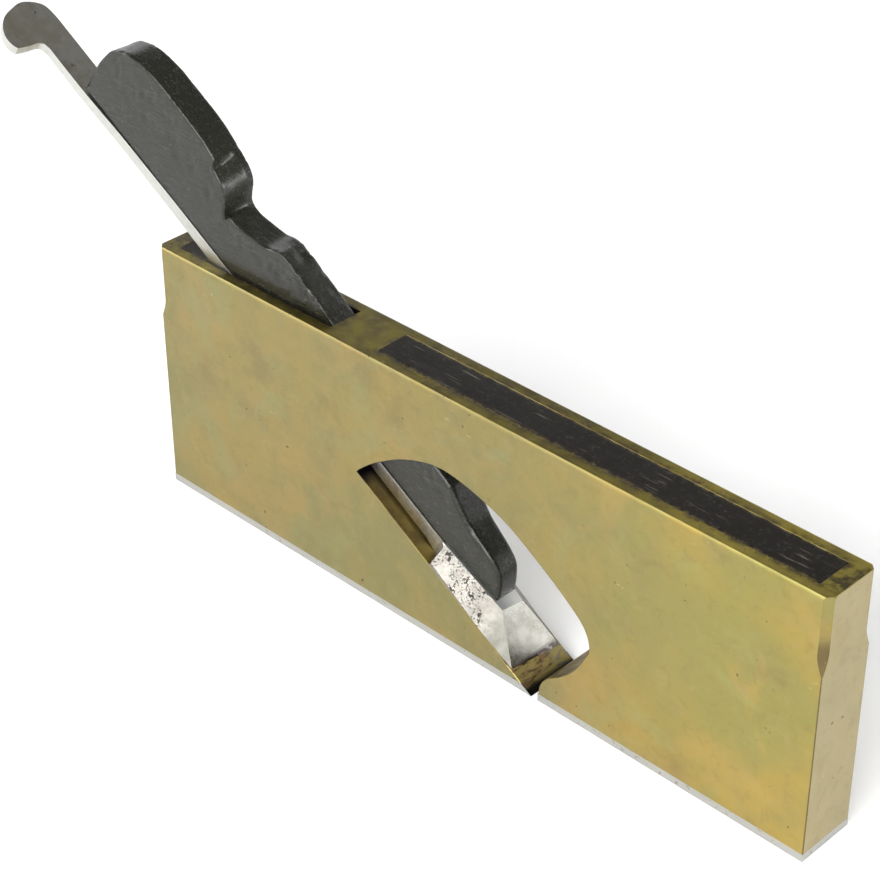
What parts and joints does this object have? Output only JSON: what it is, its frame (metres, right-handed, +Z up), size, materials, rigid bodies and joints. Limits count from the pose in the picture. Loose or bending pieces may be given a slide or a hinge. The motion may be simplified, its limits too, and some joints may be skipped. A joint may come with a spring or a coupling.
{
  "type": "hand plane",
  "caption": "Narrow rebate plane: a cast brass body with steel sole plates, ebony infills, a hooked tapered iron and an ebony wedge.",
  "frame": {"origin": "midway along the sole and across it, on the underside of the rear sole plate", "axes": "+X from the heel to the toe, +Y from the side that the iron's hook points to, across to the other side, +Z up"},
  "size_m": [0.3056, 0.0245, 0.1378],
  "materials": {
    "gunmetal": "satin, cloudy olive-gold patina",
    "sole_steel": "satin",
    "iron_steel": "dull grey with pits, polished bevel",
    "ebony_infill": "worn wax",
    "ebony_wedge": "satin wax"
  },
  "bodies": {
    "stock": {"body": "gunmetal", "sole_plate_rear": "sole_steel", "sole_plate_front": "sole_steel", "infill_rear": "ebony_infill", "infill_front": "ebony_infill"},
    "iron": {"iron": "iron_steel"},
    "wedge": {"wedge": "ebony_wedge"}
  },
  "joints": [
    {"name": "iron_slide", "type": "slide", "parent": "stock", "child": "iron", "axis": [-0.8443, 0, 0.5358], "range_m": [-0.01, 0.018]},
    {"name": "wedge_slide", "type": "slide", "parent": "stock", "child": "wedge", "axis": [-0.8526, 0, 0.5226], "range_m": [0, 0.1]}
  ]
}
